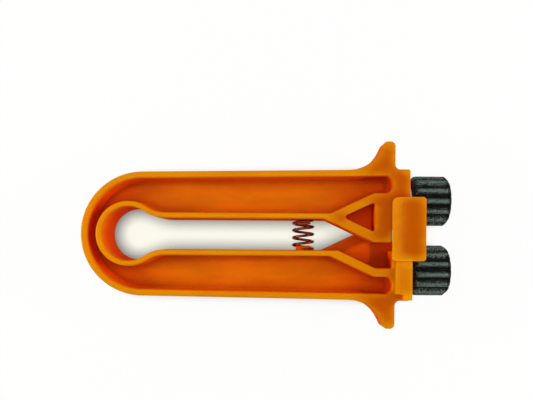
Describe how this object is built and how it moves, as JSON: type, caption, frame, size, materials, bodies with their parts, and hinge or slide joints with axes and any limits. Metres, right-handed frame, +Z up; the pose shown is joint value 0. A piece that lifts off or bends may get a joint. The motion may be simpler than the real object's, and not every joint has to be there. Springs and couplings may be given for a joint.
{
  "type": "frame wire tensioner",
  "caption": "Squeeze handle bent to a U from one plastic moulding, with toothed wheels at the open end that crimp a wire and a coil spring that opens the arms.",
  "frame": {"origin": "centre of the underside of the object's box, on the surface that it lies on", "axes": "+X along the handle from the bow to the wheels, +Y across it to the upper arm, +Z up out of the surface"},
  "size_m": [0.1446, 0.073, 0.026],
  "materials": {
    "handle_plastic": "satin injection-moulded polypropylene",
    "spring_wire": "copper-washed drawn wire",
    "wheel_iron": "dark oiled casting, teeth rubbed bright",
    "axle_steel": "zinc plated"
  },
  "bodies": {
    "bow": {"bow": "handle_plastic", "return_spring": "spring_wire"},
    "upper_arm": {"upper_arm": "handle_plastic", "upper_sleeve": "axle_steel", "upper_screw": "axle_steel", "upper_head_washer": "axle_steel", "upper_thrust_washer": "axle_steel"},
    "lower_arm": {"lower_arm": "handle_plastic", "lower_sleeve": "axle_steel", "lower_screw": "axle_steel", "lower_head_washer": "axle_steel", "lower_thrust_washer": "axle_steel"},
    "upper_wheel": {"upper_wheel": "wheel_iron"},
    "lower_wheel": {"lower_wheel": "wheel_iron"}
  },
  "joints": [
    {"name": "upper_bend", "type": "hinge", "parent": "bow", "child": "upper_arm", "pos_m": [-0.06003, 0.0119, 0.0108], "axis": [0, 0, -1], "range_deg": [0, 1.9], "stiffness_Nm_per_rad": 12, "springref_deg": -1.15, "deforming": ["return_spring"]},
    {"name": "lower_bend", "type": "hinge", "parent": "bow", "child": "lower_arm", "pos_m": [-0.06003, -0.0119, 0.0108], "axis": [0, 0, 1], "range_deg": [0, 1.9], "stiffness_Nm_per_rad": 12, "springref_deg": -1.15, "deforming": ["return_spring"]},
    {"name": "upper_spin", "type": "hinge", "parent": "upper_arm", "child": "upper_wheel", "pos_m": [0.06507, 0.014, 0.0108], "axis": [1, 0, 0], "continuous": true},
    {"name": "lower_spin", "type": "hinge", "parent": "lower_arm", "child": "lower_wheel", "pos_m": [0.06507, -0.014, 0.0108], "axis": [1, 0, 0], "continuous": true}
  ],
  "couplings": [
    {"joint": "lower_bend", "follows": "upper_bend", "ratio": 1},
    {"joint": "lower_spin", "follows": "upper_spin", "ratio": -1}
  ]
}
